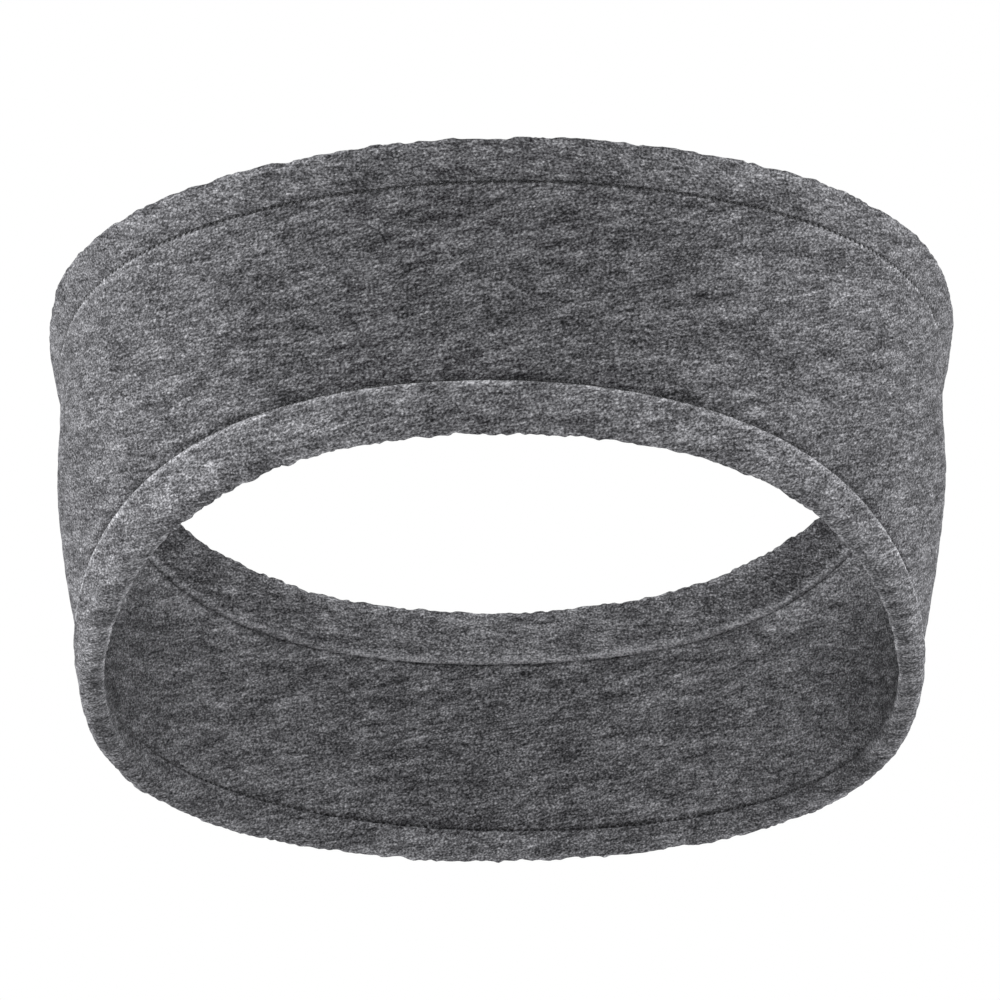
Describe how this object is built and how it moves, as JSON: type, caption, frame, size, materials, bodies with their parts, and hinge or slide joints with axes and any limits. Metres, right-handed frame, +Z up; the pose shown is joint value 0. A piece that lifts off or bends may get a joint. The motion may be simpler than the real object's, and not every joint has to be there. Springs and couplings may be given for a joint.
{
  "type": "fleece headband",
  "caption": "Stretch fleece headband in worn form: an oval band, taller over the ears, whose two edges are wrapped by folded hems.",
  "frame": {"origin": "centre of the hollow for the head, on the band's axis", "axes": "+Z up to the crown, -Y to the forehead, +X to the right as seen from the front"},
  "size_m": [0.1692, 0.209, 0.0721],
  "materials": {
    "band_fleece": "charcoal heather fleece, matt, fine streaky marl",
    "hem_fleece": "the same charcoal heather fleece, folded and stitched, matt"
  },
  "bodies": {
    "root": {"band": "band_fleece", "upper_hem": "hem_fleece", "lower_hem": "hem_fleece"}
  },
  "joints": []
}
